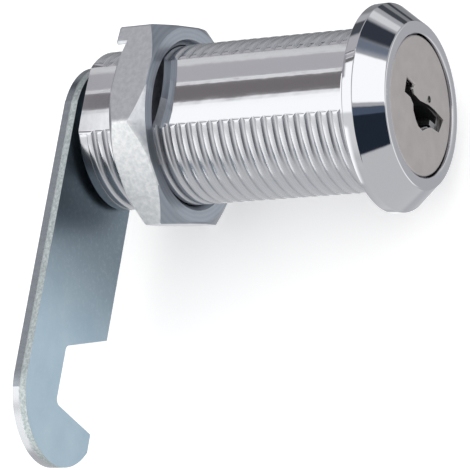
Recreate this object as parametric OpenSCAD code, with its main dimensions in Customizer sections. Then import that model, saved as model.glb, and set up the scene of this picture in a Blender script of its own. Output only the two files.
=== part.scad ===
/* [Head] */
// Diameter of the head's back rim
head_d = 24.1; // [22:0.1:30]
// Diameter of the flat ring round the key face
ring_d = 19.6; // [17.5:0.1:20.5]
// Height of the head in front of the panel
head_h = 4.3; // [3.8:0.05:5]
// Height of the plain rim behind the bevel
rim_h = 1.2; // [0.4:0.05:1.4]
// Diameter of the recess for the key face
face_bore_d = 16.6; // [15.8:0.05:17]
// Depth of the recess for the key face
face_bore_depth = 2.2; // [1.8:0.05:2.4]
// Width of the bright lip where the recess starts
lip_w = 0.3; // [0.15:0.05:0.5]

/* [Barrel] */
// Thread diameter over the crests
barrel_d = 19; // [18.8:0.1:20]
// Width across the two flats
flats_w = 16.5; // [16.3:0.1:17.5]
// Length of the barrel behind the head
barrel_l = 35.8; // [35:0.1:42]
// Length of the round plain collar behind the head
collar_l = 1.4; // [1:0.1:2]
// Thread pitch
pitch = 1.4; // [1.2:0.05:1.6]
// Depth of the thread grooves
thread_depth = 0.35; // [0.3:0.05:0.7]
// Length of the plain end behind the thread
plain_end_l = 1.2; // [1:0.1:2]

/* [Plug] */
// Diameter of the turning core
plug_d = 12.5; // [12.4:0.05:12.7]
// Radial running clearance of the core
plug_gap = 0.05; // [0.03:0.01:0.08]
// Diameter over the cap on the key face
cap_d = 16.3; // [15.4:0.05:16.35]
// Thickness of the cap's sheet
cap_t = 0.35; // [0.25:0.05:0.5]
// How far the key face lies behind the ring
face_recess = 0.35; // [0.2:0.05:0.5]
// Length of the cap's skirt
skirt_l = 0.9; // [0.6:0.1:1.1]
// Depth of the keyway behind the head's seat
keyway_l = 21; // [20.5:0.5:21.5]
// Diameter of the centre dimple
dimple_d = 0.8; // [0.5:0.1:1]
// Depth of the centre dimple
dimple_h = 0.2; // [0.1:0.05:0.25]

/* [Wafers] */
// Distance from the head's seat to the first wafer
wafer_y0 = 4; // [3.8:0.1:4.6]
// Distance between wafers
wafer_step = 3; // [2.8:0.1:3.2]
// Thickness of a wafer
wafer_t = 0.9; // [0.7:0.05:1]
// Width of a wafer
wafer_w = 7; // [6.8:0.1:7.2]
// How far a wafer springs out into its channel
wafer_throw = 0.8; // [0.5:0.05:0.85]
// Side clearance of a wafer in its slot
wafer_gap = 0.05; // [0.03:0.01:0.08]
// Outer diameter of a wafer spring
spring_d = 1.4; // [1.3:0.05:1.45]
// Wire diameter of the springs
spring_wire = 0.22; // [0.18:0.02:0.26]
// Turns of a wafer spring
spring_turns = 6; // [5:1:8]

/* [Retainer] */
// Distance from the head's seat to the retaining plate
retainer_y = 25; // [24.5:0.5:27]
// Thickness of the retaining plate
retainer_t = 1; // [0.8:0.05:1.2]
// Width of the retaining plate
retainer_w = 5; // [4.5:0.1:5.4]
// How far the plate stands into the ring groove
retainer_bite = 0.75; // [0.5:0.05:0.8]

/* [Tail] */
// Diameter of the plug's tail
tail_d = 8; // [7.6:0.1:8.6]
// Width across the tail's flats
tail_w = 6.2; // [6:0.1:6.8]
// Clearance of the plates on the tail
tail_gap = 0.08; // [0.05:0.01:0.12]
// Thickness of the stop washer
stop_t = 0.6; // [0.5:0.05:0.8]
// Diameter of the stop washer
stop_d = 15; // [14.8:0.1:15.2]
// Angle that the plug turns through
turn_angle = 90; // [45:5:90]
// Width of the stop tab as an angle
tab_angle = 22; // [16:1:30]

/* [Cam] */
// Thickness of the cam plate
cam_t = 1.8; // [1.6:0.1:3]
// Diameter of the round end on the plug
hub_d = 17.4; // [17:0.1:19]
// How far the round end is centred towards the arm
hub_shift = 1; // [0.6:0.1:1.4]
// Distance from the lock's axis to the far end of the cam
cam_reach = 42.5; // [41:0.1:48]
// Height of the cam's upper edge over the axis
cam_top = 8.7; // [8:0.1:9.2]
// Depth of the cam's lower edge under the axis
cam_bottom = 6.5; // [5.6:0.1:6.8]
// Radius of the cam's far end
cam_end_r = 8.2; // [7.9:0.1:8.8]
// Distance from the axis to where the hook's mouth starts
mouth_start = 24.4; // [23:0.1:25]
// Distance from the axis to the mouth's inner corner
mouth_corner = 28.5; // [27:0.1:29]
// Height of the mouth's inner edge over the axis
mouth_top = 1.8; // [1.2:0.1:2.4]
// Thickness of the hook's tip
tip_w = 3.1; // [2.6:0.1:3.6]
// Fillet radius in the mouth
mouth_fillet = 0.8; // [0.4:0.1:1.1]
// Angle by which the arm hangs under level
cam_lean = 1.2; // [0:0.1:2]

/* [Nut] */
// Width across the nut's flats
nut_af = 23.4; // [23:0.1:27]
// Thickness of the nut
nut_t = 4.8; // [3:0.1:5.2]
// Length of barrel that stands out behind the nut
nut_end_l = 5.6; // [5.4:0.1:20]
// Turn of the nut from its corners standing level
nut_turn = -5; // [-30:1:30]
// Radial clearance of the nut over the thread crests
nut_gap = 0.05; // [0.03:0.01:0.1]
// Width of the countersink at the nut's bore
nut_sink = 0.6; // [0.3:0.05:0.9]
// Slope of the nut's corner bevels
nut_bevel = 38; // [20:1:40]
// Height of the nib behind one corner of the nut
nib_h = 0.8; // [0.6:0.1:1.4]

/* [Screw] */
// Thread diameter of the cam screw
screw_d = 5; // [4:0.5:5]
// Length of the cam screw under its head
screw_l = 10; // [8:0.5:12]
// Diameter of the screw's head
screw_head_d = 9.4; // [9:0.1:10.5]
// Height of the screw's head
screw_head_h = 2.8; // [2.6:0.1:3.4]
// Depth of the cross recess
cross_depth = 1.7; // [1.2:0.1:1.9]
// Thickness of the spring washer
spring_washer_t = 1; // [0.8:0.1:1.4]
// Outer diameter of the spring washer
spring_washer_d = 8.9; // [8.6:0.1:9.4]

/* [Hidden] */
$fn = 96;

wafers = 5;           // each wafer and each wafer spring is a node of its own

over = 1;             // how far a cutter runs past what it cuts
sliver = 0.01;        // overlap that joins or cuts two faces cleanly
axial_gap = 0.05;     // play of the plug along its axis
loose_gap = 0.15;     // gap round pieces that move freely
round_edge = 0.15;    // small turned edge breaks

chrome = [0.82, 0.83, 0.85];
nickel = [0.72, 0.73, 0.74];
satin = [0.64, 0.62, 0.60];
zinc_blue = [0.58, 0.66, 0.72];
brass = [0.80, 0.66, 0.34];
spring_steel = [0.55, 0.56, 0.58];

barrel_r = barrel_d / 2;
bore_r = plug_d / 2 + plug_gap;
core_r = plug_d / 2;
face_r = face_bore_d / 2;
recess_floor = -head_h + face_bore_depth;
face_y = -head_h + face_recess;
flange_front = face_y + cap_t;
flange_back = recess_floor - axial_gap;
flange_r = cap_d / 2 - cap_t;

spring_gap = 0.1;     // gap between a spring and its pocket
dimple_x = 1.8;       // place of the dimple, level with the keyway's waist
dimple_z = -1.9;
window_left = 2.8;    // the key's window, from the middle of the wafer
window_w = 4.4;
window_low = -4.2;
window_h = 7.6;
code_step = 0.18;     // step of the windows' heights from wafer to wafer
wafer_slot_t = wafer_t + 2 * wafer_gap;
wafer_r = core_r - 0.05;
channel_w = wafer_w + 2 * loose_gap;
channel_z = wafer_r + wafer_throw + spring_gap;
channel_front = wafer_y0 - wafer_step / 2;
channel_back = wafer_y0 + (wafers - 1) * wafer_step + wafer_step / 2;

nib_w = spring_d;                              // length of the wafer's side nib
nib_z = 1.4;                                   // underside of the nib with the wafer level
nib_thick = 1;                                 // height of the nib
nib_root = 0.2;                                // how far the nib runs into the wafer
pocket_x = wafer_w / 2 + spring_d / 2 + spring_gap;
pocket_r = spring_d / 2 + spring_gap;
pocket_bottom = -3;
pocket_top = nib_z + nib_thick + wafer_throw + loose_gap;

shoulder_y = barrel_l + axial_gap;
cam_y = shoulder_y + stop_t;
cam_back = cam_y + cam_t;
tail_end = cam_back - loose_gap;               // the screw clamps the cam, not the tail
head_y = cam_back + spring_washer_t;
screw_bore_l = screw_l - spring_washer_t + 2;  // the drill runs 2 mm past the screw

stop_r_in = bore_r + loose_gap;
stop_r_out = 7.35;
stop_pocket_r = stop_r_out + loose_gap;
stop_depth = 1.2;                              // depth of the pocket for the stop tab
stop_slack = 1;                                // play at each end of the turn, in degrees

ring_groove_r = core_r + retainer_bite + spring_gap;
retainer_slot_t = retainer_t + 2 * wafer_gap;
groove_w = retainer_t + 2 * loose_gap;
retainer_z0 = -1.6;                            // foot of the retaining plate
retainer_well = -4.6;                          // floor of the retainer spring's well
retainer_spring_d = 2.2;
retainer_drop = 0.5;                           // how far the plate can be pushed in to free the plug

hub_r = hub_d / 2;
mouth_end = cam_reach - 2 * tip_w;             // hook tip's inner edge, from the axis
tip_lean = 0.7;                                // how far the tip's inner edge slopes into the mouth

nut_y = barrel_l - nut_end_l - nut_t;
nut_r = nut_af / 2;
corner_r = nut_r / cos(30);
nut_bore_r = barrel_r + nut_gap;
nut_edge = 0.05;                               // how far the bevel reaches into the nut's faces
nib_w2 = 2;                                    // half the width of the nib
nib_l = 3;                                     // how far the nib reaches in from the corner

screw_gap = 0.02;                              // radial gap of the screw in the plug
washer_split = 0.7;                            // width of the spring washer's cut
cross_l = 4.8;
cross_w = 1;
screw_rim = 1.2;                               // height of the straight side of the screw's head

// Places a drawing of X across and Z up between two distances along the lock
module plate(y0, y1) {
    translate([0, y1, 0]) rotate([90, 0, 0]) linear_extrude(y1 - y0) children();
}

module rod(y0, y1, r) {
    plate(y0, y1) circle(r);
}

// Turns a profile of [distance along the lock, radius] round the axis
module turned(profile) {
    rotate([90, 0, 0]) rotate_extrude() polygon([for (p = profile) [p[1], -p[0]]]);
}

// A round shape with two flats above and below
module double_d(r, w) {
    intersection() {
        circle(r);
        square([2 * r + over, w], center = true);
    }
}

// A flat sector from angle a0 to a1, measured from +X towards +Z
module sector(r, a0, a1) {
    polygon(concat([[0, 0]], [for (i = [0:8]) let (a = a0 + (a1 - a0) * i / 8) 1.2 * r * [cos(a), sin(a)]]));
}

// A rod along Z
module upright(x, y, z0, z1, r) {
    translate([x, y, z0]) cylinder(h = z1 - z0, r = r);
}

// A closed helical wire along Z, its ends cut level by the last ring
module coil(r, wire, turns, z0, z1) {
    steps = 12;
    sides = 6;
    count = steps * turns;
    rise = (z1 - z0 - wire) / count;
    ring = function (i) [for (k = [0:sides - 1])
        let (a = 360 * i / steps, b = 360 * k / sides, d = r + wire / 2 * cos(b))
        [d * cos(a), d * sin(a), z0 + wire / 2 + rise * i + wire / 2 * sin(b)]];
    points = [for (i = [0:count]) each ring(i)];
    walls = [for (i = [0:count - 1], k = [0:sides - 1])
        let (n = (k + 1) % sides)
        [i * sides + k, i * sides + n, (i + 1) * sides + n, (i + 1) * sides + k]];
    first = [for (k = [sides - 1:-1:0]) k];
    last = [for (k = [0:sides - 1]) count * sides + k];
    polyhedron(points, concat(walls, [first, last]));
}

// Opening punched in the cap: a narrow upper leg and a wide lower leg joined by a thin bend
module cap_keyway() {
    polygon([
        [1.57, 4.1], [1.6, 2.2], [1, 2.5], [0.5, 1.9], [0.5, 0.3], [0.85, -1], [1.12, -1.95],
        [1.3, -3.6], [1.34, -5.85], [-0.65, -5.65], [-0.85, -4.5], [-1.1, -3.3], [-1.6, -2.5],
        [-2.5, -1.4], [-2.5, -0.2], [-2.1, 0.6], [-1.4, 1.5], [-0.7, 1.8], [-0.3, 2.7], [-0.42, 4]
    ]);
}

// Keyway of the core, a little narrower than the cap's, with a guide rib at its foot
module keyway_shape() {
    polygon([
        [1.45, 4], [1.5, 2.3], [0.95, 2.4], [0.55, 1.8], [0.55, 0.3], [0.9, -1.1], [1.15, -2],
        [1.25, -3.6], [1.2, -5.2], [0.3, -5.2], [0.1, -3.7], [-0.5, -3.7], [-0.6, -5.1], [-0.8, -4.3],
        [-1, -3.2], [-1.5, -2.4], [-2.3, -1.3], [-2.3, -0.2], [-1.95, 0.5], [-1.3, 1.4],
        [-0.65, 1.7], [-0.25, 2.6], [-0.35, 3.9]
    ]);
}

module housing_body() {
    start = collar_l;
    grooves = floor((barrel_l - plain_end_l - start) / pitch);
    turned(concat(
        [[-head_h, 0], [-head_h, ring_d / 2], [-rim_h - round_edge, head_d / 2 - round_edge]],
        [[-rim_h, head_d / 2], [-round_edge, head_d / 2], [0, head_d / 2 - round_edge], [0, barrel_r]],
        [for (i = [0:grooves - 1], p = [[0.15, 0], [0.5, thread_depth], [0.85, 0]])
            [start + (i + p[0]) * pitch, barrel_r - p[1]]],
        [[barrel_l - round_edge, barrel_r], [barrel_l, barrel_r - round_edge], [barrel_l, 0]]
    ));
}

// The two flats start behind the round collar
module flats() {
    for (side = [-1, 1])
        translate([-barrel_r - over, collar_l, side > 0 ? flats_w / 2 : -flats_w / 2 - barrel_r])
            cube([barrel_d + 2 * over, barrel_l, barrel_r]);
}

module wafer_channels() {
    for (turn = [0, 90])
        rotate([0, turn, 0])
            translate([-channel_w / 2, channel_front, -channel_z])
                cube([channel_w, channel_back - channel_front, 2 * channel_z]);
}

module stop_pocket() {
    half = tab_angle / 2 + stop_slack;
    plate(barrel_l - stop_depth, barrel_l + over)
        intersection() {
            circle(stop_pocket_r);
            sector(stop_pocket_r, 180 - turn_angle - half, 180 + half);
        }
}

module housing() {
    color(chrome)
        difference() {
            housing_body();
            flats();
            rod(-head_h - over, recess_floor, face_r);
            turned([
                [-head_h - sliver, 0], [-head_h - sliver, face_r + lip_w],
                [-head_h + lip_w, face_r], [-head_h + lip_w, 0]
            ]);
            rod(-head_h, barrel_l + over, bore_r);
            wafer_channels();
            rod(retainer_y - groove_w / 2, retainer_y + groove_w / 2, ring_groove_r);
            stop_pocket();
        }
}

module mounting_nut() {
    nut_back = nut_y + nut_t;
    bevel = (corner_r - nut_r + nut_edge) * tan(nut_bevel);
    color(nickel)
        rotate([0, -nut_turn, 0]) {
            difference() {
                intersection() {
                    plate(nut_y, nut_back) circle(corner_r, $fn = 6);
                    turned([
                        [nut_y, 0], [nut_y, nut_r - nut_edge], [nut_y + bevel, corner_r + sliver],
                        [nut_back - bevel, corner_r + sliver], [nut_back, nut_r - nut_edge], [nut_back, 0]
                    ]);
                }
                rod(nut_y - over, nut_back + over, nut_bore_r);
                turned([
                    [nut_y - sliver, 0], [nut_y - sliver, nut_bore_r + nut_sink],
                    [nut_y + nut_sink, nut_bore_r], [nut_y + nut_sink, 0]
                ]);
                turned([
                    [nut_back - nut_sink, 0], [nut_back - nut_sink, nut_bore_r],
                    [nut_back + sliver, nut_bore_r + nut_sink], [nut_back + sliver, 0]
                ]);
            }
            nut_nib();
        }
}

// Small rounded nib behind the upper corner
module nut_nib() {
    intersection() {
        rotate([0, -60, 0])
            translate([corner_r - nib_l, nut_y + nut_t - over, -nib_w2])
                cube([nib_l, over + nib_h, 2 * nib_w2]);
        rod(nut_y, nut_y + nut_t + nib_h, (nut_r + corner_r) / 2);
        plate(nut_y, nut_y + nut_t + nib_h) circle(corner_r, $fn = 6);
    }
}

module plug() {
    color(brass)
        difference() {
            union() {
                rod(flange_front, flange_back, flange_r);
                rod(flange_back - over, shoulder_y, core_r);
                plate(shoulder_y - over, tail_end) double_d(tail_d / 2, tail_w);
            }
            plate(flange_front - over, keyway_l) keyway_shape();
            for (i = [0:wafers - 1]) wafer_slot(wafer_y0 + i * wafer_step);
            retainer_slot();
            rod(tail_end - screw_bore_l, tail_end + over, screw_d / 2);
        }
}

module wafer_slot(y) {
    translate([-wafer_w / 2 - wafer_gap, y - wafer_slot_t / 2, -core_r - over])
        cube([wafer_w + 2 * wafer_gap, wafer_slot_t, 2 * (core_r + over)]);
    upright(pocket_x, y, pocket_bottom, pocket_top, pocket_r);
    translate([0, y - wafer_slot_t / 2, nib_z - spring_gap])
        cube([pocket_x + nib_w / 2 + spring_gap, wafer_slot_t, pocket_top - nib_z + spring_gap]);
}

module retainer_slot() {
    translate([-retainer_w / 2 - wafer_gap, retainer_y - retainer_slot_t / 2, retainer_z0 - retainer_drop])
        cube([retainer_w + 2 * wafer_gap, retainer_slot_t, core_r + over - retainer_z0 + retainer_drop]);
    upright(0, retainer_y, retainer_well, retainer_z0, retainer_spring_d / 2 + loose_gap);
}

module retainer() {
    top_r = core_r + retainer_bite;
    color(brass)
        plate(retainer_y - retainer_t / 2, retainer_y + retainer_t / 2)
            intersection() {
                circle(top_r);
                translate([-retainer_w / 2, retainer_z0]) square([retainer_w, top_r - retainer_z0]);
            }
}

module retainer_spring() {
    color(spring_steel)
        translate([0, retainer_y, 0])
            coil((retainer_spring_d - spring_wire) / 2, spring_wire, spring_turns,
                retainer_well, retainer_z0);
}

// Drawn cap over the plug's flange, with the keyway punched through
module face_cap() {
    color(satin)
        difference() {
            rod(face_y, flange_front + skirt_l, cap_d / 2);
            rod(flange_front, flange_front + skirt_l + over, flange_r);
            plate(face_y - over, flange_front + over) cap_keyway();
            translate([dimple_x, face_y + dimple_h, dimple_z])
                rotate([90, 0, 0]) cylinder(h = over, d = dimple_d);
        }
}

// Wafer with a window for the key and a nib for its spring, level with the core as a key holds it
module wafer(i) {
    y = wafer_y0 + i * wafer_step;
    window_shift = code_step * (((i * 2) % 5) - 2);
    color(brass)
        plate(y - wafer_t / 2, y + wafer_t / 2) {
            difference() {
                intersection() {
                    circle(wafer_r);
                    square([wafer_w, 2 * core_r], center = true);
                }
                translate([-window_left, window_low + window_shift]) square([window_w, window_h]);
            }
            translate([wafer_w / 2 - nib_root, nib_z]) square([nib_w + nib_root, nib_thick]);
        }
}

module wafer_spring(i) {
    color(spring_steel)
        translate([pocket_x, wafer_y0 + i * wafer_step, 0])
            coil((spring_d - spring_wire) / 2, spring_wire, spring_turns, pocket_bottom, nib_z);
}

module tail_hole() {
    double_d(tail_d / 2 + tail_gap, tail_w + 2 * tail_gap);
}

// Washer keyed to the tail, with one tab that runs in the housing's pocket
module stop_washer() {
    color(nickel) {
        plate(shoulder_y, cam_y)
            difference() {
                circle(stop_d / 2);
                tail_hole();
            }
        plate(barrel_l - stop_depth + loose_gap, shoulder_y)
            intersection() {
                difference() {
                    circle(stop_r_out);
                    circle(stop_r_in);
                }
                sector(stop_r_out, 180 - tab_angle / 2, 180 + tab_angle / 2);
            }
    }
}

// Drawing of the cam: the arm points to -X and the hook opens downwards
module cam_outline() {
    end_x = -(cam_reach - cam_end_r);
    end_z = cam_top - cam_end_r;
    translate([-hub_shift, 0]) circle(hub_r);
    difference() {
        union() {
            translate([end_x, -cam_bottom]) square([-end_x, cam_top + cam_bottom]);
            intersection() {
                translate([end_x, end_z]) circle(cam_end_r);
                translate([end_x - cam_end_r, -cam_bottom]) square([cam_end_r + over, cam_top + cam_bottom]);
            }
        }
        mouth();
    }
}

module mouth() {
    slope = (mouth_corner - mouth_start) / (mouth_top + cam_bottom);
    low = -cam_bottom - over;
    offset(r = mouth_fillet, $fn = 32) offset(delta = -mouth_fillet)
        polygon([
            [-mouth_start + slope * over, low], [-mouth_corner, mouth_top],
            [-mouth_end + tip_lean, mouth_top], [-mouth_end, -cam_bottom], [-mouth_end, low]
        ]);
}

module cam() {
    color(zinc_blue)
        plate(cam_y, cam_back)
            difference() {
                rotate(cam_lean) cam_outline();
                tail_hole();
            }
}

// Split ring under the screw's head
module spring_washer() {
    color(spring_steel)
        plate(cam_back, head_y)
            difference() {
                circle(spring_washer_d / 2);
                circle(screw_d / 2 + loose_gap);
                translate([0, -washer_split / 2]) square([spring_washer_d, washer_split]);
            }
}

module cam_screw() {
    top = head_y + screw_head_h;
    color(zinc_blue)
        difference() {
            union() {
                turned([
                    [head_y, 0], [head_y, screw_head_d / 2], [head_y + screw_rim, screw_head_d / 2],
                    [top - 0.6, screw_head_d / 2 - 0.7], [top, screw_head_d / 2 - 2], [top, 0]
                ]);
                rod(head_y - screw_l, head_y + sliver, screw_d / 2 - screw_gap);
            }
            for (turn = [0, 90])
                rotate([0, turn, 0])
                    translate([-cross_l / 2, top - cross_depth, -cross_w / 2])
                        cube([cross_l, cross_depth + over, cross_w]);
        }
}

housing();
mounting_nut();
plug();
face_cap();
retainer();
retainer_spring();
wafer(0);  // wafer_1
wafer(1);  // wafer_2
wafer(2);  // wafer_3
wafer(3);  // wafer_4
wafer(4);  // wafer_5
wafer_spring(0);  // wafer_spring_1
wafer_spring(1);  // wafer_spring_2
wafer_spring(2);  // wafer_spring_3
wafer_spring(3);  // wafer_spring_4
wafer_spring(4);  // wafer_spring_5
stop_washer();
cam();
spring_washer();
cam_screw();
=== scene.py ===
import math

import bpy
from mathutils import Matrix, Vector


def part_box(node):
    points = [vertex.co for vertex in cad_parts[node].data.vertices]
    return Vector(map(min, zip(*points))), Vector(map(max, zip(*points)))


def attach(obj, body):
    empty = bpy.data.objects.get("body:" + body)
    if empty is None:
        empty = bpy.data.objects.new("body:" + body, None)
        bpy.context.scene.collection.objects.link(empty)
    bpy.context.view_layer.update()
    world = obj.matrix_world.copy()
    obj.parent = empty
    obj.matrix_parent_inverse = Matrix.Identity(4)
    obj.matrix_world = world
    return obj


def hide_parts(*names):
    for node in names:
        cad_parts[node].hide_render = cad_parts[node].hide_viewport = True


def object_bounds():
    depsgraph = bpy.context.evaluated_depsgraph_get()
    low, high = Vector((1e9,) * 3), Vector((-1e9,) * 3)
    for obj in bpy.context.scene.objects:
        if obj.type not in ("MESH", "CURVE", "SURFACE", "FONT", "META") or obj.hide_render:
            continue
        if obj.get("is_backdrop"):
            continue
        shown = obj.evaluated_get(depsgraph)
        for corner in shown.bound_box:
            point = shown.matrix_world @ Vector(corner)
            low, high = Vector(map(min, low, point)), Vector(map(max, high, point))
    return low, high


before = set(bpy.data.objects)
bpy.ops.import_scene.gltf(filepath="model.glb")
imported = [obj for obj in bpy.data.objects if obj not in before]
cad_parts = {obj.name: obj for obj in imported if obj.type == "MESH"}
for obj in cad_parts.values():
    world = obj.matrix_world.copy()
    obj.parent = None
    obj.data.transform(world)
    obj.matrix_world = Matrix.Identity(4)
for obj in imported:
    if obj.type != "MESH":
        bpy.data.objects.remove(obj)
cad_low, cad_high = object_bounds()

MM = 0.001

# Camera
# A long lens above the cam's side of the lock, turned on its side as the lock is held up in the photo:
# the key face looks right, the cam hangs down and the upper flat faces the camera.
camera_place = Vector((-166.08, -160.19, 293.83)) * MM
camera_turn = [math.radians(angle) for angle in (28.67, 26.76, -79.89)]
camera = bpy.data.objects.new("camera", bpy.data.cameras.new("camera"))
bpy.context.scene.collection.objects.link(camera)
camera.location = camera_place
camera.rotation_euler = camera_turn
camera.data.lens = 249.48
camera.data.clip_start = 10 * MM
bpy.context.scene.camera = camera


# Housing
# One zinc die casting, turned and polished, then bright chrome plated: the bevelled head, a round
# collar, and the threaded barrel. Its two flats are polished by hand, so they are a little crowned.
def add_node(tree, kind, settings=None, links=None):
    """Adds a shader node, sets its properties and sockets, and links its inputs."""
    made = tree.nodes.new(kind)
    for key, value in (settings or {}).items():
        if isinstance(key, str) and hasattr(made, key):
            setattr(made, key, value)
        else:
            made.inputs[key].default_value = value
    for key, source in (links or {}).items():
        tree.links.new(source, made.inputs[key])
    return made


def hex_colour(code):
    """Turns an sRGB hex value into the linear colour that a shader takes."""
    parts = [int(code[i : i + 2], 16) / 255 for i in (1, 3, 5)]
    return [c / 12.92 if c <= 0.04045 else ((c + 0.055) / 1.055) ** 2.4 for c in parts] + [1]


def new_metal(name, hex_code, roughness):
    """Starts a metal: its tree, the shader, and the place on the piece in millimetres."""
    material = bpy.data.materials.new(name)
    material.use_nodes = True
    tree = material.node_tree
    shader = tree.nodes["Principled BSDF"]
    shader.inputs["Base Color"].default_value = hex_colour(hex_code)
    shader.inputs["Metallic"].default_value = 1
    shader.inputs["Roughness"].default_value = roughness
    place = add_node(tree, "ShaderNodeTexCoord").outputs["Object"]
    in_mm = add_node(
        tree, "ShaderNodeVectorMath", {"operation": "SCALE", "Scale": 1000}, {0: place}
    ).outputs["Vector"]
    return material, tree, shader, in_mm


def polished_chrome():
    """Polished chrome plate: a mirror with a faint ripple, duller where the wheel can't reach."""
    material, tree, shader, in_mm = new_metal("polished_chrome", "#c9cacd", 0.05)
    ripple = add_node(
        tree, "ShaderNodeTexNoise", {"Scale": 0.35, "Detail": 2.0}, {"Vector": in_mm}
    )
    pores = add_node(
        tree, "ShaderNodeTexNoise", {"Scale": 2.2, "Detail": 5.0}, {"Vector": in_mm}
    )
    both = add_node(
        tree,
        "ShaderNodeMath",
        {"operation": "MULTIPLY_ADD", 1: 0.12},
        {0: pores.outputs[0], 2: ripple.outputs[0]},
    )
    bump = add_node(
        tree,
        "ShaderNodeBump",
        {"Strength": 0.14, "Distance": 0.04 * MM},
        {"Height": both.outputs[0]},
    )
    tree.links.new(bump.outputs[0], shader.inputs["Normal"])
    across = add_node(
        tree, "ShaderNodeVectorMath", {"operation": "MULTIPLY", 1: (1, 0, 1)}, {0: in_mm}
    )
    radius = add_node(
        tree, "ShaderNodeVectorMath", {"operation": "LENGTH"}, {0: across.outputs[0]}
    )
    crest_mm = crest_r / MM
    groove = add_node(
        tree,
        "ShaderNodeMapRange",
        {"From Min": crest_mm - 0.02, "From Max": crest_mm - 0.18, "To Min": 0.22, "To Max": 0.5},
        {"Value": radius.outputs["Value"]},
    )
    parts = add_node(tree, "ShaderNodeSeparateXYZ", {}, {0: in_mm})
    collar_mm = collar_l / MM
    behind = add_node(
        tree,
        "ShaderNodeMapRange",
        {"From Min": collar_mm - 0.1, "From Max": collar_mm + 0.2},
        {"Value": parts.outputs["Y"]},
    )
    height = add_node(tree, "ShaderNodeMath", {"operation": "ABSOLUTE"}, {0: parts.outputs["Z"]})
    flat_mm = flat_half / MM
    off_flat = add_node(
        tree,
        "ShaderNodeMapRange",
        {"From Min": flat_mm + 0.01, "From Max": flat_mm - 0.05},
        {"Value": height.outputs[0]},
    )
    cut_thread = add_node(
        tree, "ShaderNodeMath", {"operation": "MULTIPLY"}, {0: behind.outputs[0], 1: off_flat.outputs[0]}
    )
    dull = add_node(
        tree,
        "ShaderNodeMix",
        {"data_type": "FLOAT", 2: 0.05},
        {0: cut_thread.outputs[0], 3: groove.outputs[0]},
    )
    tree.links.new(dull.outputs[0], shader.inputs["Roughness"])
    return material


def draw_line(name, points):
    """Draws (radius, distance along the lock) points one by one, as extruded edges in the XY plane."""
    bpy.ops.object.select_all(action="DESELECT")
    radius, along = points[0]
    bpy.ops.mesh.primitive_plane_add(size=0.1 * MM, location=(radius, along, 0))
    line = bpy.context.object
    line.name = name
    bpy.ops.object.mode_set(mode="EDIT")
    bpy.ops.mesh.select_all(action="SELECT")
    bpy.ops.mesh.merge(type="CENTER")
    for here, there in zip(points, points[1:]):
        step = (there[0] - here[0], there[1] - here[1], 0)
        bpy.ops.mesh.extrude_region_move(TRANSFORM_OT_translate={"value": step})
    bpy.ops.object.mode_set(mode="OBJECT")
    bpy.ops.object.transform_apply(location=True)
    return line


def settle(piece):
    """Puts a piece's place into its mesh, closes its seams and turns its faces outwards."""
    bpy.ops.object.select_all(action="DESELECT")
    piece.select_set(True)
    bpy.context.view_layer.objects.active = piece
    bpy.ops.object.transform_apply(location=True, rotation=True, scale=True)
    bpy.ops.object.mode_set(mode="EDIT")
    bpy.ops.mesh.select_all(action="SELECT")
    bpy.ops.mesh.remove_doubles(threshold=0.002 * MM)
    bpy.ops.mesh.normals_make_consistent(inside=False)
    bpy.ops.object.mode_set(mode="OBJECT")
    return piece


def lathe(name, points, steps=160, angle=360, start=0):
    """Turns a profile round the lock's axis, all the way or through part of a turn."""
    piece = draw_line(name, points)
    bpy.ops.object.mode_set(mode="EDIT")
    bpy.ops.mesh.select_all(action="SELECT")
    bpy.ops.mesh.spin(
        steps=steps, angle=math.radians(angle), center=(0, 0, 0), axis=(0, 1, 0)
    )
    bpy.ops.object.mode_set(mode="OBJECT")
    settle(piece)
    piece.rotation_euler = (0, math.radians(start), 0)
    return settle(piece)


def cut(piece, tool, operation="DIFFERENCE"):
    """Applies one solid to another and throws the tool away."""
    bpy.context.view_layer.objects.active = piece
    boolean = piece.modifiers.new("cut", "BOOLEAN")
    boolean.operation = operation
    boolean.solver = "EXACT"
    boolean.object = tool
    bpy.ops.object.modifier_apply(modifier="cut")
    bpy.data.objects.remove(tool)
    return piece


def arc(centre, radius, first, last, count=6):
    """Points round a corner, as (radius from the axis, distance along the lock)."""
    turns = [math.radians(first + (last - first) * i / count) for i in range(count + 1)]
    return [(centre[0] + radius * math.cos(a), centre[1] + radius * math.sin(a)) for a in turns]


def hand_over(piece, name, body, slot, *nodes):
    """Names a finished piece, smooths it, lets it ride on its body and stand for its solids."""
    piece.name = name
    bpy.ops.object.select_all(action="DESELECT")
    piece.select_set(True)
    bpy.context.view_layer.objects.active = piece
    bpy.ops.object.shade_smooth_by_angle(angle=math.radians(28))
    true_flats = piece.modifiers.new("true_flats", "WEIGHTED_NORMAL")
    true_flats.keep_sharp = True
    bpy.ops.object.modifier_apply(modifier="true_flats")
    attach(piece, body)
    if nodes:
        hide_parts(*nodes)
    return piece


head_low, head_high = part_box("housing")
head_r = head_high.x
head_front = head_low.y
barrel_end = head_high.y
ring_r = 9.8 * MM
rim_h = 1.2 * MM
collar_r = 9.5 * MM
collar_l = 1.4 * MM
crest_r = 9.48 * MM
pitch = 1.4 * MM
groove_depth = 0.2 * MM
plain_end = 1.2 * MM
flat_half = 8.25 * MM
crown_r = 60 * MM
recess_r = 8.3 * MM
recess_floor = head_front + 2.2 * MM
core_bore_r = 6.3 * MM
edge = 0.3 * MM
lip = 0.12 * MM
deep = 3 * MM

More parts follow.
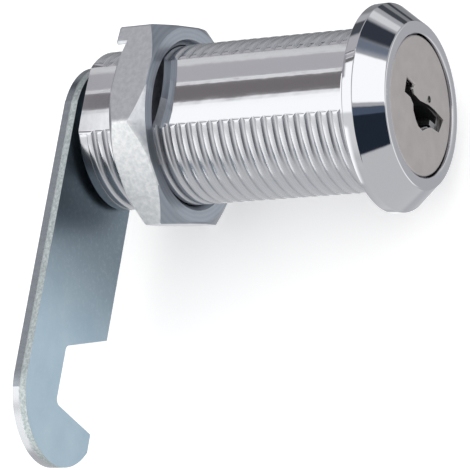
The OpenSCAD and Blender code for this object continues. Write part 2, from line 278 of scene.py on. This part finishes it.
one_turn = [(crest_r, -deep)]
for i in range(13):
    sunk = groove_depth * (1 - math.cos(2 * math.pi * i / 12)) / 2
    one_turn.append((crest_r - sunk, -deep + pitch * (0.14 + 0.72 * i / 12)))
thread = draw_line("thread", one_turn + [(crest_r, -deep + pitch)])
screw = thread.modifiers.new("turns", "SCREW")
screw.axis = "Y"
screw.steps = screw.render_steps = 96
screw.screw_offset = pitch
screw.iterations = math.ceil((barrel_end + 2 * deep) / pitch)
bpy.context.view_layer.objects.active = thread
bpy.ops.object.modifier_apply(modifier="turns")
settle(thread)
bpy.ops.object.mode_set(mode="EDIT")
for end, outward in ((0.5 * collar_l, -1), (barrel_end - 0.5 * plain_end, 1)):
    bpy.ops.mesh.select_all(action="SELECT")
    bpy.ops.mesh.bisect(
        plane_co=(0, end, 0), plane_no=(0, outward, 0), use_fill=True, clear_outer=True
    )
bpy.ops.mesh.select_all(action="SELECT")
bpy.ops.mesh.fill_holes(sides=0)
bpy.ops.object.mode_set(mode="OBJECT")
housing = settle(thread)
end_ring = lathe(
    "end_ring",
    [(0, barrel_end - plain_end), (collar_r, barrel_end - plain_end)]
    + arc((collar_r - edge, barrel_end - edge), edge, 0, 90)
    + [(0, barrel_end)],
)
cut(housing, end_ring, "UNION")
for side in (1, -1):
    crown = lathe(
        "crown",
        [(0, -deep), (crown_r, -deep), (crown_r, barrel_end + deep), (0, barrel_end + deep)],
        720,
    )
    crown.location.z = side * (flat_half + 0.19 * MM - crown_r)
    cut(housing, settle(crown), "INTERSECT")
bevel_slope = math.degrees(math.atan2(head_r - ring_r, -head_front - rim_h))
head = lathe(
    "head",
    [(0, head_front)]
    + arc((ring_r - edge, head_front + edge), edge, -90, -bevel_slope)
    + arc((head_r - edge, -rim_h), edge, -bevel_slope, 0)
    + arc((head_r - 0.5 * edge, -0.5 * edge), 0.5 * edge, 0, 90)
    + [(collar_r, 0), (collar_r, collar_l), (0, collar_l)],
    256,
)
cut(housing, head, "UNION")
recess = lathe(
    "recess",
    [(0, head_front - deep), (recess_r + lip, head_front - deep)]
    + arc((recess_r + lip, head_front + lip), lip, 270, 180)
    + [(recess_r, recess_floor), (core_bore_r, recess_floor)]
    + [(core_bore_r, barrel_end + deep), (0, barrel_end + deep)],
    256,
)
cut(housing, recess)
pocket_r = 7.5 * MM
pocket_floor = barrel_end - 1.2 * MM
pocket = lathe(
    "pocket",
    [
        (core_bore_r - edge, pocket_floor),
        (pocket_r, pocket_floor),
        (pocket_r, barrel_end + deep),
        (core_bore_r - edge, barrel_end + deep),
        (core_bore_r - edge, pocket_floor),
    ],
    48,
    114,
    168,
)
bpy.ops.object.mode_set(mode="EDIT")
bpy.ops.mesh.select_all(action="SELECT")
bpy.ops.mesh.fill_holes(sides=0)
bpy.ops.object.mode_set(mode="OBJECT")
cut(housing, settle(pocket))

# Two crossed channels that the wafers spring into, and the ring groove of the retaining plate
channel_w = 7.3 * MM
channel_end_gap = 1.05 * MM
wafer_room = 0.9 * MM
first_low, first_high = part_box("wafer_1")
last_low, last_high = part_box("wafer_5")
channel_h = 2 * (first_high.z + wafer_room)
channel_front = first_low.y - channel_end_gap
channel_back = last_high.y + channel_end_gap
for wide, high in ((channel_w, channel_h), (channel_h, channel_w)):
    bpy.ops.mesh.primitive_cube_add(size=1, location=(0, (channel_front + channel_back) / 2, 0))
    channel = bpy.context.object
    channel.scale = (wide, channel_back - channel_front, high)
    cut(housing, settle(channel))
plate_low, plate_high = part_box("retainer")
plate_gap = 0.15 * MM
groove_front = plate_low.y - plate_gap
groove_back = plate_high.y + plate_gap
groove_in = core_bore_r - edge
groove_out = plate_high.z + 0.1 * MM
plate_groove = lathe(
    "plate_groove",
    [
        (groove_in, groove_front),
        (groove_out, groove_front),
        (groove_out, groove_back),
        (groove_in, groove_back),
        (groove_in, groove_front),
    ],
    96,
)
cut(housing, plate_groove)
chrome = polished_chrome()
housing.data.materials.clear()
housing.data.materials.append(chrome)
hand_over(housing, "lock_housing", "housing", "chrome", "housing")


# Plug core
# A die-cast zinc core, nickel plated, that turns in the housing. Only its mouth shows, through the
# keyway of the cap; its slots carry the wafers and its flatted tail carries the cam.
def nickel_casting():
    """Nickel plate over a raw casting: a soft grey sheen with fine grain."""
    material, tree, shader, in_mm = new_metal("nickel_casting", "#8d8f90", 0.38)
    grain = add_node(
        tree, "ShaderNodeTexNoise", {"Scale": 3.5, "Detail": 6.0}, {"Vector": in_mm}
    )
    tone = add_node(
        tree,
        "ShaderNodeMix",
        {"data_type": "RGBA", 6: hex_colour("#6f7273"), 7: hex_colour("#a3a5a6")},
        {0: grain.outputs[0]},
    )
    bump = add_node(
        tree,
        "ShaderNodeBump",
        {"Strength": 0.5, "Distance": 0.03 * MM},
        {"Height": grain.outputs[0]},
    )
    tree.links.new(tone.outputs[2], shader.inputs["Base Color"])
    tree.links.new(bump.outputs[0], shader.inputs["Normal"])
    return material


def refinish(node, material):
    """Gives a solid of the frame its finish."""
    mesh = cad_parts[node].data
    mesh.materials.clear()
    mesh.materials.append(material)


casting = nickel_casting()
refinish("plug", casting)


# Wafers and retaining plate
# Stamped brass sheet, tumbled: flat slips that slide in the core's slots, and the thicker plate that
# locks the core into the housing.
def stamped_brass():
    """Tumbled brass: warm and satin, with fine rolling lines and darker patches."""
    material, tree, shader, in_mm = new_metal("stamped_brass", "#c9a75c", 0.3)
    lines = add_node(
        tree, "ShaderNodeMapping", {"Scale": (9, 1, 0.8)}, {"Vector": in_mm}
    )
    rolled = add_node(
        tree, "ShaderNodeTexNoise", {"Scale": 1.0, "Detail": 4.0}, {"Vector": lines.outputs[0]}
    )
    tone = add_node(
        tree,
        "ShaderNodeMix",
        {"data_type": "RGBA", 6: hex_colour("#a88442"), 7: hex_colour("#d8b96e")},
        {0: rolled.outputs[0]},
    )
    bump = add_node(
        tree,
        "ShaderNodeBump",
        {"Strength": 0.4, "Distance": 0.02 * MM},
        {"Height": rolled.outputs[0]},
    )
    tree.links.new(tone.outputs[2], shader.inputs["Base Color"])
    tree.links.new(bump.outputs[0], shader.inputs["Normal"])
    return material


brass = stamped_brass()
wafer_names = [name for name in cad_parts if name.startswith("wafer_") and "spring" not in name]
for name in [*wafer_names, "retainer"]:
    refinish(name, brass)


# Springs
# Wound from bright steel wire, one under each wafer's nib and one under the retaining plate.
def spring_wire():
    """Bright drawn steel: smooth, with faint lines along the draw."""
    material, tree, shader, in_mm = new_metal("spring_wire", "#9a9da1", 0.22)
    drawn = add_node(
        tree, "ShaderNodeTexNoise", {"Scale": 12.0, "Detail": 2.0}, {"Vector": in_mm}
    )
    rough = add_node(
        tree,
        "ShaderNodeMapRange",
        {"To Min": 0.16, "To Max": 0.34},
        {"Value": drawn.outputs[0]},
    )
    tree.links.new(rough.outputs[0], shader.inputs["Roughness"])
    return material


steel_wire = spring_wire()
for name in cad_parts:
    if name.startswith("wafer_spring") or name == "retainer_spring":
        refinish(name, steel_wire)


# Key face
# A thin stainless cap drawn over the core's front. Its rim is rounded by the drawing, the keyway is
# punched through with slightly turned-in edges, and the face is satin finished.
def satin_stainless():
    """Satin stainless sheet: a warm grey with fine grain and a cloudy tone."""
    material, tree, shader, in_mm = new_metal("satin_stainless", "#b0aba6", 0.34)
    grain = add_node(
        tree, "ShaderNodeTexNoise", {"Scale": 7.0, "Detail": 4.0}, {"Vector": in_mm}
    )
    cloud = add_node(
        tree, "ShaderNodeTexNoise", {"Scale": 0.5, "Detail": 3.0}, {"Vector": in_mm}
    )
    tone = add_node(
        tree,
        "ShaderNodeMix",
        {"data_type": "RGBA", 6: hex_colour("#a49f9d"), 7: hex_colour("#b9b4b2")},
        {0: cloud.outputs[0]},
    )
    bump = add_node(
        tree,
        "ShaderNodeBump",
        {"Strength": 0.35, "Distance": 0.01 * MM},
        {"Height": grain.outputs[0]},
    )
    flat = add_node(tree, "ShaderNodeVectorMath", {"operation": "MULTIPLY", 1: (1, 0, 1)}, {0: in_mm})
    # A darker spot is painted round the dimple beside the keyway.
    from_dimple = add_node(
        tree, "ShaderNodeVectorMath", {"operation": "DISTANCE", 1: (1.8, 0, -1.9)}, {0: flat.outputs[0]}
    )
    dimple_dark_spot = add_node(
        tree,
        "ShaderNodeMapRange",
        {"interpolation_type": "SMOOTHSTEP", "From Min": 0.5, "From Max": 0.28},
        {"Value": from_dimple.outputs["Value"]},
    )
    tone_with_dark_spot = add_node(
        tree,
        "ShaderNodeMix",
        {"data_type": "RGBA", 7: hex_colour("#3a3535")},
        {0: dimple_dark_spot.outputs[0], 6: tone.outputs[2]},
    )
    tree.links.new(tone_with_dark_spot.outputs[2], shader.inputs["Base Color"])
    tree.links.new(bump.outputs[0], shader.inputs["Normal"])
    return material


def copy_solid(node):
    """Copies a solid of the frame as one clean mesh: triangles joined, flat faces made whole."""
    piece = bpy.data.objects.new(node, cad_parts[node].data.copy())
    bpy.context.scene.collection.objects.link(piece)
    piece.data.materials.clear()
    settle(piece)
    bpy.ops.object.mode_set(mode="EDIT")
    bpy.ops.mesh.select_all(action="SELECT")
    bpy.ops.mesh.mark_sharp(clear=True)
    bpy.ops.mesh.dissolve_limited(angle_limit=math.radians(0.5))
    bpy.ops.object.mode_set(mode="OBJECT")
    return piece


def round_edges(piece, radius, wanted, segments=3):
    """Bevels the edges that join two faces at an angle and that the test on their middle wants."""
    bpy.ops.object.select_all(action="DESELECT")
    piece.select_set(True)
    bpy.context.view_layer.objects.active = piece
    bpy.ops.object.mode_set(mode="EDIT")
    bpy.ops.mesh.select_mode(type="EDGE")
    bpy.ops.mesh.select_all(action="DESELECT")
    bpy.ops.mesh.edges_select_sharp(sharpness=math.radians(35))
    bpy.ops.object.mode_set(mode="OBJECT")
    points = piece.data.vertices
    for side in piece.data.edges:
        middle = (points[side.vertices[0]].co + points[side.vertices[1]].co) / 2
        side.select = side.select and wanted(middle)
    bpy.ops.object.mode_set(mode="EDIT")
    bpy.ops.mesh.bevel(offset=radius, segments=segments, affect="EDGES", clamp_overlap=True)
    bpy.ops.mesh.select_mode(type="VERT")
    bpy.ops.object.mode_set(mode="OBJECT")


def out_from_axis(point):
    return math.hypot(point.x, point.z)


face_low, face_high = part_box("face_cap")
cap = copy_solid("face_cap")
on_front = face_low.y + 0.01 * MM
face_rise = 0.15 * MM
for point in cap.data.vertices:
    if point.co.y < on_front:
        point.co.y -= face_rise
round_edges(cap, 0.6 * MM, lambda p: p.y < on_front and out_from_axis(p) > 0.9 * face_high.x, 6)
round_edges(cap, 0.07 * MM, lambda p: p.y < on_front and out_from_axis(p) < 0.8 * face_high.x, 2)
cap.data.materials.append(satin_stainless())
hand_over(cap, "key_face", "plug", "satin_steel", "face_cap")


# Mounting nut
# Turned from drawn hexagon bar and nickel plated. Both faces are chamfered, which leaves arcs on the
# six flats, and one corner carries a small rounded nib behind. One flat is painted pale as a painted
# highlight, and is rougher.
def nickel_plate():
    """Dull nickel over drawn bar: a soft mirror with fine lines along the bar and a mottled grain."""
    material, tree, shader, in_mm = new_metal("nickel_plate", "#d6d7d8", 0.3)
    lines = add_node(
        tree, "ShaderNodeMapping", {"Scale": (5, 0.7, 5)}, {"Vector": in_mm}
    )
    drawn = add_node(
        tree, "ShaderNodeTexNoise", {"Scale": 1.0, "Detail": 5.0}, {"Vector": lines.outputs[0]}
    )
    mottle = add_node(
        tree, "ShaderNodeTexNoise", {"Scale": 1.8, "Detail": 5.0, "Roughness": 0.6}, {"Vector": in_mm}
    )
    spread = add_node(
        tree, "ShaderNodeMapRange", {"From Min": 0.35, "From Max": 0.65}, {"Value": mottle.outputs[0]}
    )
    tone = add_node(
        tree,
        "ShaderNodeMix",
        {"data_type": "RGBA", 6: hex_colour("#bfc2c6"), 7: hex_colour("#ced0d4")},
        {0: spread.outputs[0]},
    )
    # Painted highlight: one flat gets a pale tone and more roughness, so that it looks lit instead of
    # mirroring the dark cam.
    lit_flat_at = math.radians(150 - nut_turn)
    lit_flat_way = (math.cos(lit_flat_at), 0, math.sin(lit_flat_at))
    flat_mm = nut_flats / 2 / MM
    outwards = add_node(
        tree, "ShaderNodeVectorMath", {"operation": "DOT_PRODUCT", 1: lit_flat_way}, {0: in_mm}
    )
    lit_flat = add_node(
        tree,
        "ShaderNodeMapRange",
        {"From Min": flat_mm - 0.5, "From Max": flat_mm - 0.1},
        {"Value": outwards.outputs["Value"]},
    ).outputs[0]
    pale = add_node(
        tree,
        "ShaderNodeMix",
        {"data_type": "RGBA", 6: hex_colour("#e6e9ea"), 7: hex_colour("#fdfdfd")},
        {0: spread.outputs[0]},
    )
    plate = add_node(
        tree,
        "ShaderNodeMix",
        {"data_type": "RGBA"},
        {0: lit_flat, 6: tone.outputs[2], 7: pale.outputs[2]},
    )
    rough = add_node(
        tree,
        "ShaderNodeMapRange",
        {"To Min": 0.26, "To Max": 0.38},
        {"Value": drawn.outputs[0]},
    )
    duller = add_node(
        tree, "ShaderNodeMix", {"data_type": "FLOAT", 3: 0.62}, {0: lit_flat, 2: rough.outputs[0]}
    )
    both = add_node(
        tree,
        "ShaderNodeMath",
        {"operation": "MULTIPLY_ADD", 1: 0.8},
        {0: mottle.outputs[0], 2: drawn.outputs[0]},
    )
    bump = add_node(
        tree,
        "ShaderNodeBump",
        {"Strength": 0.4, "Distance": 0.018 * MM},
        {"Height": both.outputs[0]},
    )
    tree.links.new(plate.outputs[2], shader.inputs["Base Color"])
    tree.links.new(duller.outputs[0], shader.inputs["Roughness"])
    tree.links.new(bump.outputs[0], shader.inputs["Normal"])
    return material


def shaded_turned_nickel():
    """Nickel over the faces that the lathe cut: a darker copy of the plate as painted shade, with fine
    rings round the axis.
    """
    material, tree, shader, in_mm = new_metal("shaded_turned_nickel", "#8c929b", 0.3)
    rings = add_node(
        tree,
        "ShaderNodeTexWave",
        {"wave_type": "RINGS", "rings_direction": "Y", "Scale": 0.6, "Distortion": 1.5, "Detail": 3.0},
        {"Vector": in_mm},
    )
    tone = add_node(
        tree,
        "ShaderNodeMix",
        {"data_type": "RGBA", 6: hex_colour("#949ba4"), 7: hex_colour("#9da3ab")},
        {0: rings.outputs[1]},
    )
    bump = add_node(
        tree,
        "ShaderNodeBump",
        {"Strength": 0.1, "Distance": 0.01 * MM},
        {"Height": rings.outputs[1]},
    )
    tree.links.new(tone.outputs[2], shader.inputs["Base Color"])
    tree.links.new(bump.outputs[0], shader.inputs["Normal"])
    return material


nut_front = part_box("mounting_nut")[0].y
nut_thick = 4.8 * MM
nut_back = nut_front + nut_thick
nut_flats = 23.4 * MM
nut_corner_r = nut_flats / 2 / math.cos(math.radians(30))
nut_turn = 5
nut_bore_r = 9.55 * MM
nut_sink = 0.6 * MM
chamfer_l = 1.45 * MM
chamfer_r = nut_flats / 2 - 0.05 * MM
bpy.ops.object.select_all(action="DESELECT")
bpy.ops.mesh.primitive_cylinder_add(
    vertices=6, radius=nut_corner_r, depth=nut_thick, location=(0, nut_front + nut_thick / 2, 0)
)
nut = bpy.context.object
nut.rotation_euler = (math.radians(90), 0, 0)
settle(nut)
nut.rotation_euler = (0, math.radians(90), 0)
settle(nut)
round_edges(nut, 0.25 * MM, lambda p: abs(p.y - nut_front - nut_thick / 2) < 0.5 * MM, 4)
cones = lathe(
    "cones",
    [
        (0, nut_front),
        (chamfer_r, nut_front),
        (nut_corner_r + 0.01 * MM, nut_front + chamfer_l),
        (nut_corner_r + 0.01 * MM, nut_back - chamfer_l),
        (chamfer_r, nut_back),
        (0, nut_back),
    ],
    192,
)
cut(nut, cones, "INTERSECT")
bore = lathe(
    "bore",
    [
        (0, nut_front - deep),
        (nut_bore_r + nut_sink, nut_front - deep),
        (nut_bore_r + nut_sink, nut_front),
        (nut_bore_r, nut_front + nut_sink),
        (nut_bore_r, nut_back - nut_sink),
        (nut_bore_r + nut_sink, nut_back),
        (nut_bore_r + nut_sink, nut_back + deep),
        (0, nut_back + deep),
    ],
    192,
)
cut(nut, bore)
nib_h = 0.8 * MM
nib_root = 1.8 * MM
nib_l = 1.5 * MM
nib_w = 3.6 * MM
bpy.ops.mesh.primitive_cylinder_add(
    vertices=6,
    radius=nut_corner_r,
    depth=nib_root + nib_h,
    location=(0, nut_back + (nib_h - nib_root) / 2, 0),
)
nib = bpy.context.object
nib.rotation_euler = (math.radians(90), 0, 0)
settle(nib)
nib.rotation_euler = (0, math.radians(90), 0)
settle(nib)
round_edges(nib, 0.25 * MM, lambda p: abs(p.y - nut_back) < 0.6 * MM, 4)
bpy.ops.mesh.primitive_cube_add(size=1, location=(nut_corner_r - nib_l / 2, nut_back, 0))
block = bpy.context.object
block.scale = (nib_l, 4 * MM, nib_w)
settle(block)
block.rotation_euler = (0, math.radians(-60), 0)
settle(block)
cut(nib, block, "INTERSECT")
round_edges(nib, 0.4 * MM, lambda p: p.y > nut_back + nib_h - 0.02 * MM, 5)
cut(nut, nib, "UNION")
nut.rotation_euler = (0, math.radians(nut_turn), 0)
settle(nut)
round_edges(nut, 0.12 * MM, lambda p: out_from_axis(p) > nut_bore_r + 0.7 * nut_sink, 3)
nut.data.materials.clear()
nut.data.materials.append(nickel_plate())
nut.data.materials.append(shaded_turned_nickel())
# The faces and chamfers turned by the lathe take the darker nickel, a painted shade; near the corner at
# -X, +Z the chamfers keep the pale nickel, a painted highlight.
for side in nut.data.polygons:
    painted_highlight_corner = side.center.x < 0 and side.center.z > 0.55 * out_from_axis(side.center)
    takes_shaded_nickel = abs(side.normal.y) > (0.9 if painted_highlight_corner else 0.3)
    side.material_index = 1 if takes_shaded_nickel else 0
hand_over(nut, "hex_nut", "mounting_nut", "nickel_steel", "mounting_nut")


# Stop washer, cam, spring washer and screw
# Stamped steel plates, zinc plated and blue passivated, stacked on the core's tail and held by one
# screw. The cam's front edges are rolled over by the press, and its sides are sheared.
def blue_zinc(front_mm):
    """Blue-passivated zinc on rolled steel: cool satin grey, with painted shade on the face near the hub.
    """
    material, tree, shader, in_mm = new_metal("blue_zinc", "#a5bac8", 0.36)
    cloud = add_node(
        tree, "ShaderNodeTexNoise", {"Scale": 0.22, "Detail": 4.0}, {"Vector": in_mm}
    )
    lines = add_node(
        tree, "ShaderNodeMapping", {"Scale": (0.5, 4, 4)}, {"Vector": in_mm}
    )
    rolled = add_node(
        tree, "ShaderNodeTexNoise", {"Scale": 1.2, "Detail": 5.0}, {"Vector": lines.outputs[0]}
    )
    tone = add_node(
        tree,
        "ShaderNodeMix",
        {"data_type": "RGBA", 6: hex_colour("#96adbe"), 7: hex_colour("#b4c6cf")},
        {0: cloud.outputs[0]},
    )
    parts = add_node(tree, "ShaderNodeSeparateXYZ", {}, {0: in_mm})
    # Painted shade: the face towards the barrel is darkened towards the hub, standing in for the barrel's
    # shadow and dark reflection.
    hub_shade_ramp = add_node(
        tree,
        "ShaderNodeMapRange",
        {"interpolation_type": "SMOOTHSTEP", "From Min": -31, "From Max": -13},
        {"Value": parts.outputs["X"]},
    )
    faces_barrel = add_node(
        tree,
        "ShaderNodeMapRange",
        {"From Min": front_mm + 0.5, "From Max": front_mm + 0.4},
        {"Value": parts.outputs["Y"]},
    )
    painted_hub_shade = add_node(
        tree,
        "ShaderNodeMath",
        {"operation": "MULTIPLY"},
        {0: hub_shade_ramp.outputs[0], 1: faces_barrel.outputs[0]},
    )
    hub_shaded_tone = add_node(
        tree,
        "ShaderNodeMix",
        {"data_type": "RGBA", 7: hex_colour("#6f7d87")},
        {0: painted_hub_shade.outputs[0], 6: tone.outputs[2]},
    )
    specks = add_node(
        tree, "ShaderNodeTexNoise", {"Scale": 2.4, "Detail": 6.0, "Roughness": 0.7}, {"Vector": in_mm}
    )
    dust = add_node(
        tree,
        "ShaderNodeMapRange",
        {"From Min": 0.5, "From Max": 0.75, "To Max": 0.16},
        {"Value": specks.outputs[0]},
    )
    dusty = add_node(
        tree,
        "ShaderNodeMix",
        {"data_type": "RGBA", 7: hex_colour("#c6d2d8")},
        {0: dust.outputs[0], 6: hub_shaded_tone.outputs[2]},
    )
    bump = add_node(
        tree,
        "ShaderNodeBump",
        {"Strength": 0.35, "Distance": 0.02 * MM},
        {"Height": rolled.outputs[0]},
    )
    tree.links.new(dusty.outputs[2], shader.inputs["Base Color"])
    tree.links.new(bump.outputs[0], shader.inputs["Normal"])
    return material


def sheared_edge(front_mm, end_mm):
    """The sides that the press shears: torn and pale in front, drawn smooth behind, with a painted
    highlight at the end.
    """
    material, tree, shader, in_mm = new_metal("sheared_edge", "#9a9ca4", 0.4)
    stretched = add_node(tree, "ShaderNodeMapping", {"Scale": (2.5, 0.6, 2.5)}, {"Vector": in_mm})
    drag = add_node(
        tree, "ShaderNodeTexNoise", {"Scale": 1.0, "Detail": 5.0}, {"Vector": stretched.outputs[0]}
    )
    speckle = add_node(
        tree, "ShaderNodeTexNoise", {"Scale": 3.2, "Detail": 5.0, "Roughness": 0.65}, {"Vector": in_mm}
    )
    parts = add_node(tree, "ShaderNodeSeparateXYZ", {}, {0: in_mm})
    back = parts.outputs["Y"]
    wavy = add_node(
        tree, "ShaderNodeMath", {"operation": "MULTIPLY_ADD", 1: 0.5}, {0: speckle.outputs[0], 2: back}
    )
    torn = add_node(
        tree,
        "ShaderNodeMapRange",
        {"From Min": front_mm + 1.22, "From Max": front_mm + 1.06},
        {"Value": wavy.outputs[0]},
    ).outputs[0]
    drawn_tone = add_node(
        tree,
        "ShaderNodeMix",
        {"data_type": "RGBA", 6: hex_colour("#7f848a"), 7: hex_colour("#9a9fa6")},
        {0: drag.outputs[0]},
    )
    # Painted highlight: the drawn side is paler towards the cam's end, standing in for a reflected light.
    end_highlight = add_node(
        tree,
        "ShaderNodeMapRange",
        {"From Min": end_mm + 0.1, "From Max": end_mm},
        {"Value": parts.outputs["X"]},
    )
    drawn_tone_and_highlight = add_node(
        tree,
        "ShaderNodeMix",
        {"data_type": "RGBA", 7: hex_colour("#c8cacd")},
        {0: end_highlight.outputs[0], 6: drawn_tone.outputs[2]},
    )
    spread = add_node(
        tree, "ShaderNodeMapRange", {"From Min": 0.36, "From Max": 0.64}, {"Value": speckle.outputs[0]}
    )
    torn_tone = add_node(
        tree,
        "ShaderNodeMix",
        {"data_type": "RGBA", 6: hex_colour("#a6b0b0"), 7: hex_colour("#d3dad9")},
        {0: spread.outputs[0]},
    )
    tone = add_node(
        tree,
        "ShaderNodeMix",
        {"data_type": "RGBA"},
        {0: torn, 6: drawn_tone_and_highlight.outputs[2], 7: torn_tone.outputs[2]},
    )
    rough = add_node(tree, "ShaderNodeMapRange", {"To Min": 0.26, "To Max": 0.5}, {"Value": torn})
    depth = add_node(tree, "ShaderNodeMath", {"operation": "MULTIPLY"}, {0: torn, 1: speckle.outputs[0]})
    bump = add_node(
        tree, "ShaderNodeBump", {"Strength": 0.6, "Distance": 0.05 * MM}, {"Height": depth.outputs[0]}
    )
    tree.links.new(tone.outputs[2], shader.inputs["Base Color"])
    tree.links.new(rough.outputs[0], shader.inputs["Roughness"])
    tree.links.new(bump.outputs[0], shader.inputs["Normal"])
    return material


cam_low, cam_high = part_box("cam")
zinc = blue_zinc(cam_low.y / MM)
# Length of the painted highlight along the cam's end.
highlight_l = 6.1 * MM
sheared = sheared_edge(cam_low.y / MM, (cam_low.x + highlight_l) / MM)
cam = copy_solid("cam")
round_edges(cam, 0.45 * MM, lambda p: p.y < cam_low.y + 0.01 * MM and out_from_axis(p) > 5 * MM, 5)
round_edges(cam, 0.1 * MM, lambda p: p.y > cam_high.y - 0.01 * MM, 2)
cam.data.materials.append(zinc)
cam.data.materials.append(sheared)
for side in cam.data.polygons:
    side.material_index = 1 if abs(side.normal.y) < 0.2 else 0
hand_over(cam, "hook_cam", "plug", "zinc_steel", "cam")
for node, radius in (("stop_washer", 0.1), ("cam_screw", 0.15)):
    piece = copy_solid(node)
    round_edges(piece, radius * MM, lambda p: True, 2)
    piece.data.materials.append(zinc)
    hand_over(piece, node + "_zinc", "plug", "zinc_steel", node)
ring = copy_solid("spring_washer")
round_edges(ring, 0.1 * MM, lambda p: True, 2)
ring.data.materials.append(steel_wire)
hand_over(ring, "split_washer", "plug", "spring_steel", "spring_washer")


# Floor and light
# A plain white table that only the camera and the shadows see, and a painted room round the lock for
# the metal to mirror: a white box overhead, another in front, and darker gaps between them.
floor_z = cad_low.z - 0.05 * MM
bpy.ops.object.select_all(action="DESELECT")
bpy.ops.mesh.primitive_plane_add(size=4, location=(0, 0, floor_z))
floor = bpy.context.object
floor.name = "floor"
floor.visible_glossy = False
paper = bpy.data.materials.new("white_paper")
paper.use_nodes = True
tree = paper.node_tree
shader = tree.nodes["Principled BSDF"]
shader.inputs["Base Color"].default_value = hex_colour("#f2f2f2")
shader.inputs["Roughness"].default_value = 0.9
shader.inputs["Specular IOR Level"].default_value = 0
rays = add_node(tree, "ShaderNodeLightPath").outputs
glow = add_node(tree, "ShaderNodeMath", {"operation": "MULTIPLY", 1: 0.36}, {0: rays["Is Camera Ray"]})
shader.inputs["Emission Color"].default_value = hex_colour("#ffffff")
tree.links.new(glow.outputs[0], shader.inputs["Emission Strength"])
floor.data.materials.append(paper)
floor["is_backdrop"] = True

world = bpy.data.worlds.new("studio")
bpy.context.scene.world = world
world.use_nodes = True
tree = world.node_tree
looking = add_node(tree, "ShaderNodeTexCoord").outputs["Generated"]
way = add_node(tree, "ShaderNodeSeparateXYZ", {}, {0: looking}).outputs
turn = add_node(tree, "ShaderNodeMath", {"operation": "ARCTAN2"}, {0: way["X"], 1: way["Z"]})
lean = add_node(tree, "ShaderNodeMath", {"operation": "ARCSINE"}, {0: way["Y"]})
around = add_node(tree, "ShaderNodeMath", {"operation": "DEGREES"}, {0: turn.outputs[0]}).outputs[0]
along = add_node(tree, "ShaderNodeMath", {"operation": "DEGREES"}, {0: lean.outputs[0]}).outputs[0]


def within(angle, middle, half, soft):
    """1 where an angle lies in a band, fading to 0 over its soft edge."""
    off = add_node(tree, "ShaderNodeMath", {"operation": "SUBTRACT", 1: middle}, {0: angle})
    near = add_node(tree, "ShaderNodeMath", {"operation": "WRAP", 1: 180, 2: -180}, {0: off.outputs[0]})
    size = add_node(tree, "ShaderNodeMath", {"operation": "ABSOLUTE"}, {0: near.outputs[0]})
    return add_node(
        tree,
        "ShaderNodeMapRange",
        {"interpolation_type": "SMOOTHSTEP", "From Min": half + soft / 2, "From Max": half - soft / 2},
        {"Value": size.outputs[0]},
    ).outputs[0]


# Each card: the angle round the lock's axis to its middle (0 overhead, 90 to +X), the angle from
# square to the axis towards the cam, half its size both ways, its soft edge, its colour and strength
cards = [
    (-130, -20, 45, 50, 10, "#e2e3e5", 1),
    (152, 30, 19, 9, 6, "#ffffff", 1.2),
    (160, -46, 28, 15, 10, "#ffffff", 1.4),
    (122, 14, 20, 20, 12, "#95979a", 1),
    (110, -4, 4, 9, 2, "#50535a", 1),
    (123, 6, 2.5, 9, 1.5, "#4c4f56", 1),
    (94, -12, 5, 9, 3, "#ffffff", 1),
    (68, -22, 17, 11, 5, "#3f444f", 1),
    (74, 24, 11, 10, 5, "#595c62", 1),
    (53, -31, 8, 7, 4, "#848d9d", 1),
    (13, -58, 31, 28, 3, "#ffffff", 1.6),
    (-45, 28, 34, 42, 40, "#ffffff", 1),
    (-1.5, 28, 28.5, 18, 4, "#ffffff", 1.6),
    (60, 60, 40, 22, 10, "#7d7f84", 1),
    (29.3, 28, 2.4, 50, 1, "#8b8688", 1),
    (31.9, 28, 0.3, 50, 0.3, "#ffffff", 1.5),
    (46, 28, 13.5, 50, 2, "#d3d1d5", 1),
    (37.8, 28, 0.9, 50, 0.5, "#ffffff", 1),
    (39.5, 28, 0.5, 50, 0.4, "#5b5d62", 1),
    (24, 46, 14, 15, 3, "#b4b2b8", 1),
    (-82, 52, 36, 22, 5, "#ffffff", 1.7),
    (-55, -42, 31, 26, 3, "#27313f", 1),
    (-30, -46, 5, 24, 2, "#59677c", 1),
]
colour = add_node(
    tree, "ShaderNodeMix", {"data_type": "RGBA", 0: 0.0, 6: hex_colour("#cacbcf")}
).outputs[2]
for round_it, along_it, half_round, half_along, soft, code, strength in cards:
    inside = add_node(
        tree,
        "ShaderNodeMath",
        {"operation": "MULTIPLY"},
        {0: within(around, round_it, half_round, soft), 1: within(along, along_it, half_along, soft)},
    )
    shade = [strength * part for part in hex_colour(code)]
    colour = add_node(
        tree, "ShaderNodeMix", {"data_type": "RGBA", 7: shade}, {0: inside.outputs[0], 6: colour}
    ).outputs[2]
plain = add_node(
    tree,
    "ShaderNodeMix",
    {"data_type": "RGBA", 6: (1, 1, 1, 1)},
    {0: add_node(tree, "ShaderNodeLightPath").outputs["Is Glossy Ray"], 7: colour},
).outputs[2]
tree.links.new(plain, tree.nodes["Background"].inputs["Color"])

bpy.context.scene.view_settings.view_transform = "Standard"

low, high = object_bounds()
